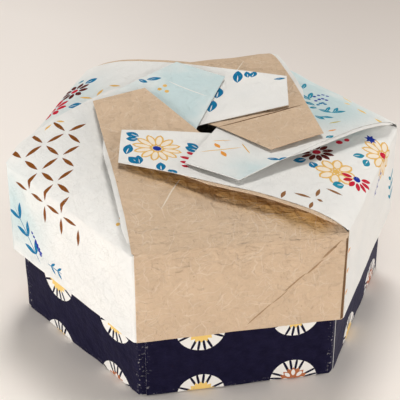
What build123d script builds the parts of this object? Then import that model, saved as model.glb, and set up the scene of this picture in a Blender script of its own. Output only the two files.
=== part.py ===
from build123d import *
import os
from math import cos, exp, pi, radians, sin, sqrt, tan

# A hexagonal box of twelve folded square sheets: six make the lid, six make the tray under it.
# Every sheet is drawn as the front one and turned about the box's axis to its place.
# The origin is the middle of the underside, +Z is up, and the front wall faces -Y.

# Driving dimensions, in millimetres
PAPER = 0.2  # thickness of a sheet
LAYER_GAP = 0.08  # air between two layers that lie on each other
FOLD_RADIUS = 0.8  # an upright corner is blunted as a bend of this radius would be

LID_SIDE = 75.0  # side of the lid's hexagon, half a sheet
LID_WALL = 37.5  # height of the lid's wall
LID_HEM = 18.75  # strip turned up inside the lid's rim
TRAY_SHOWN = 28.0  # height of the tray under the lid's rim
EDGE_SETBACK = 2.0  # cut edge of a wall, back from its left corner

DOME_RISE = 8.9  # a blade climbs by about this much soon after its wall
DOME_REACH = 12.0  # how slowly that climb levels out
EDGE_SLOPE = 0.034  # slope of a blade's long edge past the climb
TWIST_ROOT = 1.2  # right end of a blade's root below its left end
TWIST_GAIN = 10.0  # how much more a blade's right side hangs at the widest twist
TWIST_REACH = 95.0  # distance from the wall at which that twist is gone again
TIP_REACH = 84.0  # tip of a blade's long edge, from its wall
TIP_LEAN = 2.3  # the long edge leans out by this much at the tip
HEEL_REACH = 91.0  # second corner of a blade's end, from its wall
HEEL_INSET = 18.7  # that corner, in from the wall's left end
EYE_RADIUS = 3.5  # opening left at the centre of the pinwheel

LIP_START = 4.0  # the pleat's lip begins this far from the corner
LIP_LENGTH = 66.0  # the pleat's length along its valley fold
LIP_SHOWN = 1.8  # the lip stands out by this much under the blade's long edge
LIP_FREE = 50.0  # length of the lip's straight free edge
PLEAT_FOLD = 0.4  # width of the turned edge at the pleat's valley fold

TRAY_PLAY = 4.0  # the tray's side is shorter than the lid's by this much
TRAY_HEM = 20.0  # strip turned down inside the tray's rim
SEAT_GAP = 0.3  # air between the tray's rim and the lid
FLOOR_TAB = 26.0  # width of the floor's tab at the wall
FLOOR_JOG = 0.5  # width of the step that lifts the floor's tab over its neighbour
EYELET = 1.0  # the floor's sectors stop this far from the centre

SIDES = 6
PLACES = ["front", "front_right", "back_right", "back", "back_left", "front_left"]

# Heights and places that follow from them
STEP = PAPER + LAYER_GAP
TURN = 360 / SIDES
TRAY_SIDE = LID_SIDE - TRAY_PLAY
LID_TOP = TRAY_SHOWN + LID_WALL
MARGIN = 4.0  # how far a cutting shape reaches past what it cuts
RULINGS = [0, 3, 6.5, 10.5, 15, 21, 30, 45]  # a blade's curve is pieced at these distances from the wall


def apothem(side):
    """Distance from the axis to a wall of a hexagon."""
    return side * sqrt(3) / 2


def turned(shape, count):
    """The shape moved on by a number of walls."""
    return Rot(0, 0, TURN * count) * shape


def flat_layer(points, bottom, thickness):
    """A level layer over an outline seen from above."""
    return Pos(0, 0, bottom) * extrude(Polygon(*points, align=None), thickness, dir=(0, 0, 1))


def plan_prism(points):
    """An upright prism through the whole box, over an outline seen from above."""
    return flat_layer(points, 0, 2 * LID_TOP)


def wall_sheet(side, bottom, top):
    """A wall with its tab: one sheet that runs along the front wall, round its right corner and on inside
    the next wall."""
    reach = apothem(side)
    wall_line = reach - PAPER / 2
    tab_line = wall_line - STEP
    corner_x = (tab_line - wall_line * sin(radians(TURN / 2))) / cos(radians(TURN / 2))
    along = Vector(1, 0).rotate(Axis.Z, TURN)
    tab_length = side - EDGE_SETBACK
    corner = Vector(corner_x, -wall_line)
    start = (EDGE_SETBACK - side / 2, -wall_line)
    blunt = FOLD_RADIUS * tan(radians(TURN / 2))
    line = Polyline(start, corner - Vector(blunt, 0), corner + along * blunt, corner + along * tab_length)
    return Pos(0, 0, bottom) * extrude(trace(line, PAPER), top - bottom)


def wall_plate(side, points):
    """A thick plate over an outline in the plane of the front wall: x runs along the wall from its left
    corner, y is height."""
    plane = Plane(origin=(-side / 2, -apothem(side), 0), x_dir=(1, 0, 0), z_dir=(0, -1, 0))
    return extrude(plane * Polygon(*points, align=None), MARGIN / 2, both=True)


def hem(side, fold_z, free_z):
    """The strip turned over inside a rim, with the turn itself."""
    reach = apothem(side)
    depth = 3 * PAPER + 2 * LAYER_GAP
    inner = depth - PAPER / 2
    outer = PAPER / 2
    over = PAPER / 2 if free_z > fold_z else -PAPER / 2
    line = Polyline(
        (-reach + outer, (fold_z + free_z) / 2),
        (-reach + outer, fold_z + over),
        (-reach + inner, fold_z + over),
        (-reach + inner, free_z),
    )
    length = side - 2 * EDGE_SETBACK
    return extrude(Plane.YZ * trace(line, PAPER), length / 2, both=True)


def blade_height(along, inward):
    """Height of the front blade's upper face. It climbs from the wall, levels out, and is twisted so that
    its right side hangs lower, under the next blade."""
    rise = DOME_RISE * (1 - exp(-inward / DOME_REACH)) + EDGE_SLOPE * inward
    twist = TWIST_ROOT + TWIST_GAIN * sin(pi * inward / TWIST_REACH) ** 2
    return LID_TOP + TWIST_ROOT / 2 + rise - twist * (along / LID_SIDE + 0.5)


def blade_slope(along, inward):
    """Slope of the front blade's upper face, going in from the wall."""
    step = 0.01
    return (blade_height(along, inward + step) - blade_height(along, inward - step)) / (2 * step)


def blade_line(along, drop):
    """The side view of the front blade's upper face at a place along the wall, lowered by a drop: curves
    that go on into each other."""
    stops = [*RULINGS, HEEL_REACH + MARGIN]
    points = [(inward - apothem(LID_SIDE), blade_height(along, inward) - drop) for inward in stops]
    tangents = [(1, blade_slope(along, inward)) for inward in stops]
    return [Edge.make_spline(points[n : n + 2], tangents[n : n + 2]) for n in range(len(RULINGS))]


def across_blade(profile):
    """A solid drawn straight across the blade between the side views that a profile gives at its two ends."""
    end = LID_SIDE / 2 + 2 * MARGIN
    return loft([Plane.YZ.offset(along) * make_face(profile(along)) for along in (-end, end)], ruled=True)


def blade_layer(drop):
    """A curved sheet as wide as the lid, lying a drop below the front blade's upper face."""

    def profile(along):
        upper = blade_line(along, drop)
        lower = blade_line(along, drop + PAPER)
        root = Line(upper[0] @ 0, lower[0] @ 0)
        end = Line(upper[-1] @ 1, lower[-1] @ 1)
        return [*upper, *lower, root, end]

    return across_blade(profile)


def under_blade(drop):
    """All the space under the front blade's upper face, lowered by a drop."""

    def profile(along):
        upper = blade_line(along, drop)
        near = upper[0] @ 0
        far = upper[-1] @ 1
        front = near - Vector(MARGIN, 0)
        return [*upper, *Polyline(far, (far.X, -MARGIN), (front.X, -MARGIN), front, near).edges()]

    return across_blade(profile)


def valley_point(distance):
    """A point of the valley fold, measured from the front wall's right corner towards the centre. The
    fold leaves the straight line to the centre by the radius of the eye."""
    lean = EYE_RADIUS * distance / LID_SIDE
    toward = Vector(0, 1).rotate(Axis.Z, TURN / 2)
    aside = toward.rotate(Axis.Z, 90)
    corner = Vector(LID_SIDE / 2, -apothem(LID_SIDE))
    return corner + toward * distance + aside * lean


def blade_outline():
    """The front blade seen from above: its root along the wall, the centre, and the slanted end."""
    root = -apothem(LID_SIDE)
    left = -LID_SIDE / 2
    return [
        (left, root),
        (-left, root),
        valley_point(LID_SIDE),
        (left + HEEL_INSET, root + HEEL_REACH),
        (left - TIP_LEAN, root + TIP_REACH),
    ]


def lip_outline():
    """The pleat's lip seen from above, under the long edge of the blade that the next wall carries."""
    root = -apothem(LID_SIDE)
    left = -LID_SIDE / 2
    slope = TIP_LEAN / TIP_REACH
    free_start = 2 * LIP_START
    free = [
        (left - LIP_SHOWN / 2, root + LIP_START),
        (left - LIP_SHOWN - slope * free_start, root + free_start),
        (left - LIP_SHOWN - slope * LIP_FREE, root + LIP_FREE),
        (left, root + LIP_LENGTH),
    ]
    free_edge = [Vector(*point).rotate(Axis.Z, TURN) for point in free]
    return [valley_point(LIP_START), *free_edge, valley_point(LIP_LENGTH)]


def valley_fold():
    """The turned edge that joins the front blade to its lip."""
    inward = Vector(0, 1).rotate(Axis.Z, TURN / 2).rotate(Axis.Z, 90) * PLEAT_FOLD
    near = valley_point(LIP_START)
    far = valley_point(LIP_LENGTH)
    band = plan_prism([near, near + inward, far + inward, far])
    return (band & turned(under_blade(STEP), 1)) - under_blade(PAPER)


def lid_unit():
    """The lid's front sheet: wall, hem, tab in the next wall, blade, and the pleat under the next blade."""
    side = LID_SIDE
    rim = TRAY_SHOWN
    past = side + MARGIN
    left_top = LID_TOP + TWIST_ROOT / 2
    right_top = LID_TOP - TWIST_ROOT / 2
    upright = wall_sheet(side, rim, LID_TOP + TWIST_ROOT)
    wall_shape = wall_plate(side, [(0, 0), (past, 0), (past, right_top), (side, right_top), (0, left_top)])
    tab_zone = turned(wall_plate(side, [(EDGE_SETBACK / 2, 0), (past, 0), (past, LID_TOP + MARGIN),
                                        (EDGE_SETBACK / 2, LID_TOP + MARGIN)]), 1)
    tab_shape = turned(wall_plate(side, [(0, rim + STEP), (side / 2, rim + STEP), (side, right_top - STEP),
                                         (0, left_top - STEP)]), 1)
    wall = (upright - tab_zone) & wall_shape
    tab = upright & tab_zone & tab_shape
    blade = blade_layer(0) & plan_prism(blade_outline())
    lip = turned(blade_layer(STEP), 1) & plan_prism(lip_outline())
    return wall + tab + hem(side, rim, rim + LID_HEM) + blade + lip + valley_fold()


def tray_unit():
    """The tray's front sheet: floor sector with its tab, wall, tab in the next wall, and hem. Its rim carries
    the lid where the blades hang lowest over it."""
    side = TRAY_SIDE
    top = blade_height(LID_SIDE / 2, apothem(TRAY_PLAY)) - PAPER - SEAT_GAP
    reach = apothem(side)
    past = side + MARGIN
    upright = wall_sheet(side, 0, top)
    tab_zone = wall_plate(side, [(EDGE_SETBACK / 2, -MARGIN), (past, -MARGIN), (past, top + MARGIN),
                                 (EDGE_SETBACK / 2, top + MARGIN)])
    tab_shape = wall_plate(side, [(0, 2 * STEP), (side / 2, 2 * STEP), (side - EDGE_SETBACK, top - STEP),
                                  (0, top - STEP)])
    upright -= turned(tab_zone - tab_shape, 1)

    toward = Vector(0, 1).rotate(Axis.Z, TURN / 2)
    aside = toward.rotate(Axis.Z, 90)
    along = Vector(1, 0).rotate(Axis.Z, TURN)
    right = Vector(side / 2, -reach)
    left = Vector(-side / 2, -reach)
    mirrored = Vector(0, 1).rotate(Axis.Z, -TURN / 2)
    clear = Vector(2 * LAYER_GAP, 0)
    eye_right = right + toward * (side - EYELET)
    eye_left = left + clear + mirrored * (side - EYELET)
    cut_left = [left + clear + mirrored * EDGE_SETBACK, left + Vector(EDGE_SETBACK, 0)]
    cut_right = [right - Vector(FOLD_RADIUS, 0), right + toward * FOLD_RADIUS]
    sector = flat_layer([*cut_left, *cut_right, eye_right, eye_left], 0, PAPER)
    jog_base = right + toward * FLOOR_TAB / 4
    jog = [jog_base, jog_base + aside * FLOOR_JOG, eye_right + aside * FLOOR_JOG, eye_right]
    step = flat_layer(jog, 0, STEP + PAPER)
    tab_root = jog_base + along * FLOOR_TAB
    tab = flat_layer([jog_base, tab_root, eye_right], STEP, PAPER)
    floor = sector + step + tab
    return upright + hem(side, top, top - TRAY_HEM) + floor


def write_units(unit, family):
    """One file for each of the six turns of a sheet."""
    for count, place in enumerate(PLACES):
        export_step(turned(unit, count), f"parts/{family}_unit_{place}.step")


os.makedirs("parts", exist_ok=True)
write_units(lid_unit(), "lid")
write_units(tray_unit(), "base")
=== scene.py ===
# %% [markdown]
# # A folded paper box with a woven pinwheel lid
# The object is a hexagonal box of twelve square sheets of paper. Six make the lid, six make the tray.
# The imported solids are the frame: they fix every size, and each sheet made here stands in for one of
# them.

# %% Load the frame
import math
from functools import partial

import bpy
import numpy as np
from mathutils import Matrix, Vector, noise
from mathutils.geometry import delaunay_2d_cdt


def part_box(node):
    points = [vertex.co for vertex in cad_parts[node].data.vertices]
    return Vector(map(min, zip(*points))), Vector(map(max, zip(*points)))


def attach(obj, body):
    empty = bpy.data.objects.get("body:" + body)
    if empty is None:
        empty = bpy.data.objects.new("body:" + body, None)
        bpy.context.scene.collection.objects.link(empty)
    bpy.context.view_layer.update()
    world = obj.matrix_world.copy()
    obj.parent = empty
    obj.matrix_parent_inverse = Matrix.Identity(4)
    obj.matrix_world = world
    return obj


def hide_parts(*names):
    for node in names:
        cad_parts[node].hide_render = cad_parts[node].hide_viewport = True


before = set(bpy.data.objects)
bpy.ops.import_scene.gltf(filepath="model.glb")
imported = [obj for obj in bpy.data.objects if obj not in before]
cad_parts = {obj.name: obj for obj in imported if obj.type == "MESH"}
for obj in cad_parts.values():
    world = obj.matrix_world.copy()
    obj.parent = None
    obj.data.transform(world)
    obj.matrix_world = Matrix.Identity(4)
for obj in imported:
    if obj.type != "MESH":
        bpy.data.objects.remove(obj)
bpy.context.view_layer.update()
bpy.ops.object.select_all(action="DESELECT")

# %% [markdown]
# ## The sizes of a sheet
# A folded sheet is easiest to describe flat: how far along the wall a point lies, and how far up the
# sheet. The walls' places could be typed in again, but they are read from the frame, so that they always
# agree.

# %% Sizes read from the frame
MM = 0.001
SIDES = 6
TURN = math.radians(360 / SIDES)
PLACES = ["front", "front_right", "back_right", "back", "back_left", "front_left"]
SHEET_SIDE = 150

lid_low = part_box("lid_unit_front")[0]
tray_low, tray_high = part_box("base_unit_front")
LID_REACH = -lid_low.y
LID_SIDE = LID_REACH / math.cos(TURN / 2)
LID_RIM = lid_low.z
LID_WALL = 37.5 * MM
LID_TOP = LID_RIM + LID_WALL
TRAY_REACH = -tray_low.y
TRAY_SIDE = TRAY_REACH / math.cos(TURN / 2)
TRAY_TOP = tray_high.z
print("lid side", round(LID_SIDE / MM, 2), "tray side", round(TRAY_SIDE / MM, 2), "mm")

# %% [markdown]
# ## The blade's curve
# The weave lifts each blade: it climbs steeply from its wall, runs almost level to the eye, and hangs
# lower on its right side. Two short formulas with the solids' own sizes hold this. Lengths along the
# curve, measured at a few bends, then lay it flat.

# %% Climb, twist and length of a blade
DOME_RISE = 8.9 * MM
DOME_REACH = 12.0 * MM
EDGE_SLOPE = 0.034
TWIST_ROOT = 1.2 * MM
TWIST_GAIN = 10.0 * MM
TWIST_REACH = 95.0 * MM


def blade_rise(inward):
    """How far the front blade has climbed at a distance in from the wall."""
    return DOME_RISE * (1 - np.exp(-inward / DOME_REACH)) + EDGE_SLOPE * inward


def blade_twist(along, inward):
    """How far the blade's twist lowers a point, more towards its right side."""
    twist = TWIST_ROOT + TWIST_GAIN * np.sin(np.pi * inward / TWIST_REACH) ** 2
    return twist * (along / LID_SIDE + 0.5) - TWIST_ROOT / 2


BENDS = np.array([0, 1.5, 3, 5, 7, 9.5, 12, 15, 18.5, 23, 28, 34, 42, 54, 91.5]) * MM
CLIMBS = blade_rise(BENDS)
LENGTHS = np.concatenate(([0], np.cumsum(np.hypot(np.diff(BENDS), np.diff(CLIMBS)))))
SLOPES = np.arctan2(np.diff(CLIMBS), np.diff(BENDS))


def blade_length(inward):
    """How far up the flat sheet a point of the blade lies, in millimetres."""
    return (LID_WALL + np.interp(inward * MM, BENDS, LENGTHS)) / MM


print("blade", round(LENGTHS[-1] / MM, 1), "mm along its curve")

# %% [markdown]
# ## The camera
# The view is a long lens from the front and a little to the left, looking down. With the box's corners
# known in millimetres, the camera's place follows from where those corners lie in the picture.

# %% Camera
CAMERA_PLACE = Vector((-84.9, -442.0, 342.7)) * MM
CAMERA_TURN = math.radians(10.584)
CAMERA_DOWN = math.radians(33.851)
LENS = 126.68
SENSOR = 36.0
PICTURE = 400

bpy.ops.object.camera_add(
    location=CAMERA_PLACE, rotation=(math.pi / 2 - CAMERA_DOWN, 0, -CAMERA_TURN)
)
camera = bpy.context.object
camera.name = "Camera"
camera.data.lens = LENS
camera.data.sensor_width = SENSOR
camera.data.clip_start = 0.01
bpy.context.scene.camera = camera
bpy.context.view_layer.update()
print("camera", [round(place, 3) for place in camera.location])

# %% [markdown]
# ## From the picture to the sheet
# The print is placed by where it shows in the picture. A line of sight through a pixel is cut with the
# wall or with the blade's curve, and the answer is given in the sheet's flat millimetres, so that a
# motif keeps its shape on the paper and bends with it.

# %% Lines of sight
SEARCH_ABOVE = 16 * MM
SEARCH_BELOW = 2 * MM
SEARCH_STEPS = 1200
FRONT_TIP = (94, 100)


def sight(pixel):
    """The direction in which the camera sees a pixel."""
    per_pixel = SENSOR / LENS / PICTURE
    across = (pixel[0] - PICTURE / 2) * per_pixel
    up = (PICTURE / 2 - pixel[1]) * per_pixel
    return camera.matrix_world.to_3x3() @ Vector((across, up, -1))


def to_front(vector, place):
    """A vector of a sheet at some place, as if that sheet were the front one."""
    return Matrix.Rotation(-TURN * PLACES.index(place), 3, "Z") @ vector


def on_blade(place, pixel):
    """The flat millimetres of the point of a lid sheet's blade that shows at a pixel."""
    eye = to_front(CAMERA_PLACE, place)
    ray = to_front(sight(pixel), place)
    heights = np.linspace(LID_TOP + SEARCH_ABOVE, LID_TOP - SEARCH_BELOW, SEARCH_STEPS)
    along, inward = (np.array([eye[:2]]).T + np.outer(ray[:2], (heights - eye.z) / ray.z))
    inward += LID_REACH
    below = heights < LID_TOP + blade_rise(np.maximum(inward, 0)) - blade_twist(along, inward)
    first = np.argmax(below)
    return np.array((along[first] / MM, blade_length(inward[first] / MM)))


def on_wall(place, pixel):
    """The flat millimetres of the point of a lid sheet's wall that shows at a pixel."""
    eye = to_front(CAMERA_PLACE, place)
    ray = to_front(sight(pixel), place)
    spot = eye + ray * ((-LID_REACH - eye.y) / ray.y)
    return np.array((spot.x, spot.z - LID_RIM)) / MM


print("tip of the front blade", on_blade("front", FRONT_TIP).round(1))

# %% [markdown]
# ## The inks
# The papers are printed with traditional ornament in a few flat inks. Three more are no print: one is
# painted shadow, for the dark gaps beside a fold and under a blade's edge, one is a darker line along an
# old crease, and one a lighter line along a crease. The ink named bare shows the paper.

# %% Inks
INKS = {
    "brown": (0.225, 0.070, 0.010),
    "bronze": (0.27, 0.125, 0.050),
    "rust": (0.45, 0.15, 0.060),
    "umber": (0.105, 0.009, 0.007),
    # Painted shadow: the dark of the gaps beside a fold and under a blade's edge.
    "painted_gap_shadow": (0.165, 0.085, 0.035),
    "crease": (0.40, 0.26, 0.15),
    "pale": (0.80, 0.70, 0.58),
    "gold": (0.76, 0.47, 0.13),
    "orange": (0.80, 0.33, 0.05),
    "red": (0.56, 0.012, 0.040),
    "blue": (0.003, 0.175, 0.360),
    "teal": (0.016, 0.260, 0.390),
    "royal": (0.010, 0.035, 0.330),
    "violet": (0.17, 0.165, 0.40),
    "olive": (0.52, 0.47, 0.16),
    "yellow": (0.86, 0.60, 0.19),
    "cream": (0.89, 0.79, 0.66),
    "white": (0.86, 0.84, 0.80),
}
print(len(INKS), "inks")

# %% [markdown]
# ## Plain outlines
# Every motif is a few closed outlines in flat millimetres, each with an ink. Nearly all of them are
# spindles, pointed at both ends, as a brush leaves them. Discs and stars make the hearts and berries.

# %% Spindle, disc and star
def spindle(start, end, width, fullness=1.0, steps=8):
    """A pointed outline round a line: a lens, or with less fullness a rounder petal."""
    start = np.array(start, float)
    run = np.array(end, float) - start
    side = np.array((-run[1], run[0])) / np.hypot(*run)
    share = np.linspace(0, 1, steps)[:, None]
    half = width / 2 * np.sin(np.pi * share) ** fullness
    left = start + run * share + side * half
    right = start + run * share - side * half
    return np.vstack((left, right[-2:0:-1]))


def disc(centre, radius, steps=12):
    angle = np.linspace(0, 2 * np.pi, steps, endpoint=False)[:, None]
    return np.array(centre) + radius * np.hstack((np.cos(angle), np.sin(angle)))


def star(centre, outer, inner, count):
    """An outline of pointed rays."""
    angle = np.linspace(0, 2 * np.pi, 2 * count, endpoint=False)[:, None]
    radius = np.where(np.arange(2 * count)[:, None] % 2, inner, outer)
    return np.array(centre) + radius * np.hstack((np.cos(angle), np.sin(angle)))


def dots(centres, radius, ink):
    return [(ink, disc(centre, radius, 8)) for centre in centres]


print("a spindle has", len(spindle((0, 0), (1, 0), 1)), "points")

# %% [markdown]
# ## Flowers
# A flower is petals round a heart. The daisies have petals with a drawn edge: a large inked petal with a
# smaller cream one on it does that without an outline tool. The other flowers have solid petals.

# %% Petals, daisies and solid flowers
DAISY_PETAL = (0.16, 1.0)
DAISY_CREAM = (0.26, 0.91)
DAISY_CREAM_WIDTH = 0.60
DAISY_HEART = 0.175
DAISY_CROWDING = 0.62 * 1.12
SOLID_ROOT = 0.32
SOLID_HEART = 0.24


def toward(centre, distance, angle):
    return np.array(centre) + distance * np.array((math.cos(angle), math.sin(angle)))


def petals(centre, inner, outer, width, ink, angles, fullness=0.6):
    return [
        (ink, spindle(toward(centre, inner, angle), toward(centre, outer, angle), width, fullness))
        for angle in angles
    ]


def full_turn(count, start=0.0):
    return [start + 2 * math.pi * number / count for number in range(count)]


def daisy(centre, radius, count, outline, heart, start=0.2):
    """A flower of outlined petals: large inked petals with smaller cream ones on them."""
    width = 2 * math.pi * radius * DAISY_CROWDING / count
    angles = full_turn(count, start)
    inner, outer = np.array(DAISY_PETAL) * radius
    shapes = petals(centre, inner, outer, width, outline, angles, 0.5)
    inner, outer = np.array(DAISY_CREAM) * radius
    shapes += petals(centre, inner, outer, width * DAISY_CREAM_WIDTH, "cream", angles, 0.5)
    shapes.append((heart, disc(centre, radius * DAISY_HEART)))
    return shapes


def flower(centre, radius, ink, heart, angles, width=1.7):
    """A flower of solid petals round a small heart."""
    solid = petals(centre, radius * SOLID_ROOT, radius, width, ink, angles)
    return solid + [(heart, disc(centre, radius * SOLID_HEART))]


print("a daisy has", len(daisy((0, 0), 9.0, 12, "gold", "royal")), "outlines")

# %% [markdown]
# ## Leaves, sprigs and the lattice
# A leaf is a spindle with a bare midrib. A sprig is a stem with leaves in pairs. The lattice is the old
# pattern of overlapping rings, of which only the lenses are printed, so it is drawn as lenses along the
# edges of a grid.

# %% Leaves, sprigs and lattice
LATTICE_ACROSS = np.array((9.85, 0.1))
LATTICE_UP = np.array((0.8, 9.75))
LENS_START = 0.11
LENS_END = 0.89
STEM = 0.45
LEAF_SPREAD = 0.75
LEAF_WIDTH = 0.3
MIDRIB = (0.05, 0.62)
MIDRIB_WIDTH = 0.11


def leaf(base, tip, width, ink="blue"):
    """A leaf with a slim bare midrib."""
    base = np.array(base)
    run = np.array(tip) - base
    midrib = spindle(*(base + share * run for share in MIDRIB), width * MIDRIB_WIDTH)
    return [(ink, spindle(base, tip, width, 0.8)), ("bare", midrib)]


def sprig(base, tip, pairs, size, ink):
    """A stem with leaves on both sides. Their size is a share of the stem's length."""
    base = np.array(base, float)
    run = np.array(tip, float) - base
    length = np.hypot(*run)
    heading = math.atan2(run[1], run[0])
    shapes = [(ink, spindle(base, tip, STEM, 0.4))]
    for number in range(pairs):
        spot = base + run * (number + 0.6) / (pairs + 0.4)
        for side in (-LEAF_SPREAD, LEAF_SPREAD):
            end = toward(spot, size * length, heading + side)
            shapes.append((ink, spindle(spot, end, size * length * LEAF_WIDTH, 0.8)))
    return shapes


def lattice(origin, level_rows, upright_rows, ink, across=LATTICE_ACROSS, up=LATTICE_UP, width=1.7):
    """Lenses along the edges of a grid. A row is given by its number and its first and last column."""
    shapes = []
    for rows, step in ((level_rows, across), (upright_rows, up)):
        for row, (first, last) in rows.items():
            for column in range(first, last + 1):
                node = np.array(origin) + column * across + row * up
                shapes.append((ink, spindle(node + LENS_START * step, node + LENS_END * step, width)))
    return shapes


print("one cell of the lattice has", len(lattice((0, 0), {0: (0, 0)}, {0: (0, 0)}, "brown")), "lenses")

# %% [markdown]
# ## Points and old creases of a flat sheet
# Paper bends anywhere, so the flat sheet gets points all over, but not close beside a crease, where they
# would make thin crooked triangles. A crease that was pressed flat again stays as a low ridge: three
# lines beside each other, of which the middle one is lifted.

# %% Points and ridges
GRID = 2.2
ROW_SPACING = 0.9
CLEAR_OF_CREASE = 0.7
RIDGE_HALF = 0.45


def distance_to(line, points):
    """How far every point lies from a straight line between two ends."""
    start = np.array(line[0], float)
    run = np.array(line[1], float) - start
    share = np.clip((points - start) @ run / (run @ run), 0, 1)
    return np.hypot(*(points - start - share[:, None] * run).T)


def grid_points(outline, creases):
    """Points all over the sheet but clear of its creases, so that it can bend anywhere."""
    low = outline.min(0)
    high = outline.max(0)
    across = np.arange(low[0] + GRID / 2, high[0], GRID)
    upward = np.arange(low[1] + GRID / 2, high[1], GRID * ROW_SPACING)
    rows = enumerate(upward)
    points = np.array([(x + GRID / 2 * (row % 2), y) for row, y in rows for x in across])
    kept = points[:, 0] < high[0]
    for crease in creases:
        kept &= distance_to(crease, points) > CLEAR_OF_CREASE
    return points[kept]


def beside(start, end):
    """The two lines along a ridge's foot and the one along its top."""
    run = np.array(end) - np.array(start)
    aside = np.array((-run[1], run[0])) / np.hypot(*run) * RIDGE_HALF
    return [(start + aside, end + aside), (start, end), (start - aside, end - aside)]


def ridge_heights(flat, ridges):
    """How far every point is pushed out by old creases that show as low ridges."""
    heights = np.zeros(len(flat))
    for start, end, height in ridges:
        heights += height * np.clip(1 - distance_to((start, end), flat) / RIDGE_HALF, 0, 1)
    return heights


print("points lie", GRID, "mm apart")

# %% [markdown]
# ## Cutting and printing a flat sheet
# Blender has no operator that prints, and an image is not wanted. So the sheet's outline, its creases
# and all the print's outlines are laid into one flat triangulation. Each triangle then takes the ink
# that lies on top there, as a colour attribute: the print has sharp edges, and it bends with the paper
# when that is folded.

# %% Triangles of a sheet
INSIDE_ONLY = 1
SAME_POINT = 1e-4
SAMPLE = np.array([(0, 0), (10, 0), (10, 10), (0, 10)], float)


def anticlockwise(loop):
    """The loop, turned round if it runs clockwise: the triangulation fills it only this way round."""
    ahead = np.roll(loop, -1, axis=0)
    area = np.sum(loop[:, 0] * ahead[:, 1] - ahead[:, 0] * loop[:, 1])
    return loop if area > 0 else loop[::-1]


def cut_triangles(outline, creases, shapes):
    """Flat points, triangles, and for each triangle the number of the shape on top of it."""
    points = []
    faces = []
    edges = []
    for loop in [outline] + [points for ink, points in shapes]:
        faces.append(list(range(len(points), len(points) + len(loop))))
        points += [Vector(point) for point in anticlockwise(loop)]
    for start, end in creases:
        steps = max(1, round(math.dist(start, end) / GRID))
        edges += [(len(points) + step, len(points) + step + 1) for step in range(steps)]
        points += [Vector(point) for point in np.linspace(start, end, steps + 1)]
    points += [Vector(point) for point in grid_points(outline, creases)]
    flat, _, triangles, _, _, origins = delaunay_2d_cdt(points, edges, faces, INSIDE_ONLY, SAME_POINT)
    kept = [number for number, origin in enumerate(origins) if 0 in origin]
    corners = [triangles[number] for number in kept]
    tops = [max(origins[number]) for number in kept]
    return np.array([tuple(point) for point in flat]), corners, tops


print("a square of 10 mm is cut into", len(cut_triangles(SAMPLE, [], [])[1]), "triangles")

# %% [markdown]
# ## From triangles to a sheet
# The mesh gets three layers of its own: the ink of each triangle, a soft wash at each point, which holds
# thin colour and, in the front pocket, painted shade, and the flat millimetres as UVs, on which the paper's
# fibres lie. Points that no triangle uses are then deleted.

# %% Cut and print
def lay_ink(mesh, shapes, tops):
    """The ink of each triangle, with no alpha where the paper is bare."""
    colour = np.zeros((len(tops), 3, 4), np.float32)
    for spot, top in enumerate(tops):
        ink = shapes[top - 1][0] if top else "bare"
        if ink != "bare":
            colour[spot, :] = (*INKS[ink], 1)
    mesh.attributes.new("ink", "FLOAT_COLOR", "CORNER").data.foreach_set("color", colour.ravel())


def lay_washes_and_painted_shade(mesh, flat, washes_and_painted_shade):
    """Soft round spots, each with a centre and a radius: thin stains, rubbed spots, and painted shade in
    the front pocket.
    """
    wash_and_painted_shade = np.zeros(len(flat), np.float32)
    for centre, radius in washes_and_painted_shade:
        wash_and_painted_shade += np.exp(-(np.hypot(*(flat - np.array(centre)).T) / radius) ** 2)
    mesh.attributes.new("wash_and_painted_shade", "FLOAT", "POINT").data.foreach_set("value", np.minimum(wash_and_painted_shade, 1))


def pick(*pieces):
    """Selects only these pieces, the first of them as the active one."""
    bpy.ops.object.select_all(action="DESELECT")
    bpy.context.view_layer.objects.active = pieces[0]
    for piece in pieces:
        piece.select_set(True)


def cut_sheet(name, outline, creases, shapes, washes_and_painted_shade=(), ridges=()):
    """A flat sheet of the outline in millimetres, with its print, washes and painted shade, UVs and old
    creases.
    """
    feet = [line for start, end, height in ridges for line in beside(start, end)]
    flat, corners, tops = cut_triangles(np.array(outline, float), [*creases, *feet], shapes)
    mesh = bpy.data.meshes.new(name)
    lifted = np.column_stack((flat, ridge_heights(flat, ridges))) * MM
    mesh.from_pydata(lifted.tolist(), [], corners)
    lay_ink(mesh, shapes, tops)
    lay_washes_and_painted_shade(mesh, flat, washes_and_painted_shade)
    layer = mesh.uv_layers.new(name="sheet")
    layer.data.foreach_set("uv", (flat[np.array(corners).ravel()] / SHEET_SIDE).ravel())
    sheet = bpy.data.objects.new(name, mesh)
    bpy.context.collection.objects.link(sheet)
    pick(sheet)
    bpy.ops.object.mode_set(mode="EDIT")
    bpy.ops.mesh.select_mode(type="VERT")
    bpy.ops.mesh.select_all(action="SELECT")
    bpy.ops.mesh.delete_loose(use_faces=False)
    bpy.ops.mesh.normals_make_consistent(inside=False)
    bpy.ops.mesh.select_all(action="DESELECT")
    bpy.ops.object.mode_set(mode="OBJECT")
    return sheet


print("a sheet has the layers ink, wash and sheet")

# %% [markdown]
# ## Folding
# A crease is turned as on the table: all that lies beyond a line is selected and rotated about that
# line. A bend is a row of such lines close together, taken from the far end, so that each line is still
# in its flat place when its turn comes. Without a window the rotate operator turns the other way, so the
# sign changes.

# %% Fold
PAST_THE_LINE = 1e-7


def flat_places(sheet):
    """The places of a sheet's points."""
    places = np.empty(len(sheet.data.vertices) * 3)
    sheet.data.vertices.foreach_get("co", places)
    return places.reshape(-1, 3)


def move_points(sheet, chosen, move):
    """Selects points of a sheet and calls an operator on them."""
    sheet.data.vertices.foreach_set("select", chosen)
    bpy.ops.object.mode_set(mode="EDIT")
    move()
    bpy.ops.mesh.select_all(action="DESELECT")
    bpy.ops.object.mode_set(mode="OBJECT")


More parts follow.
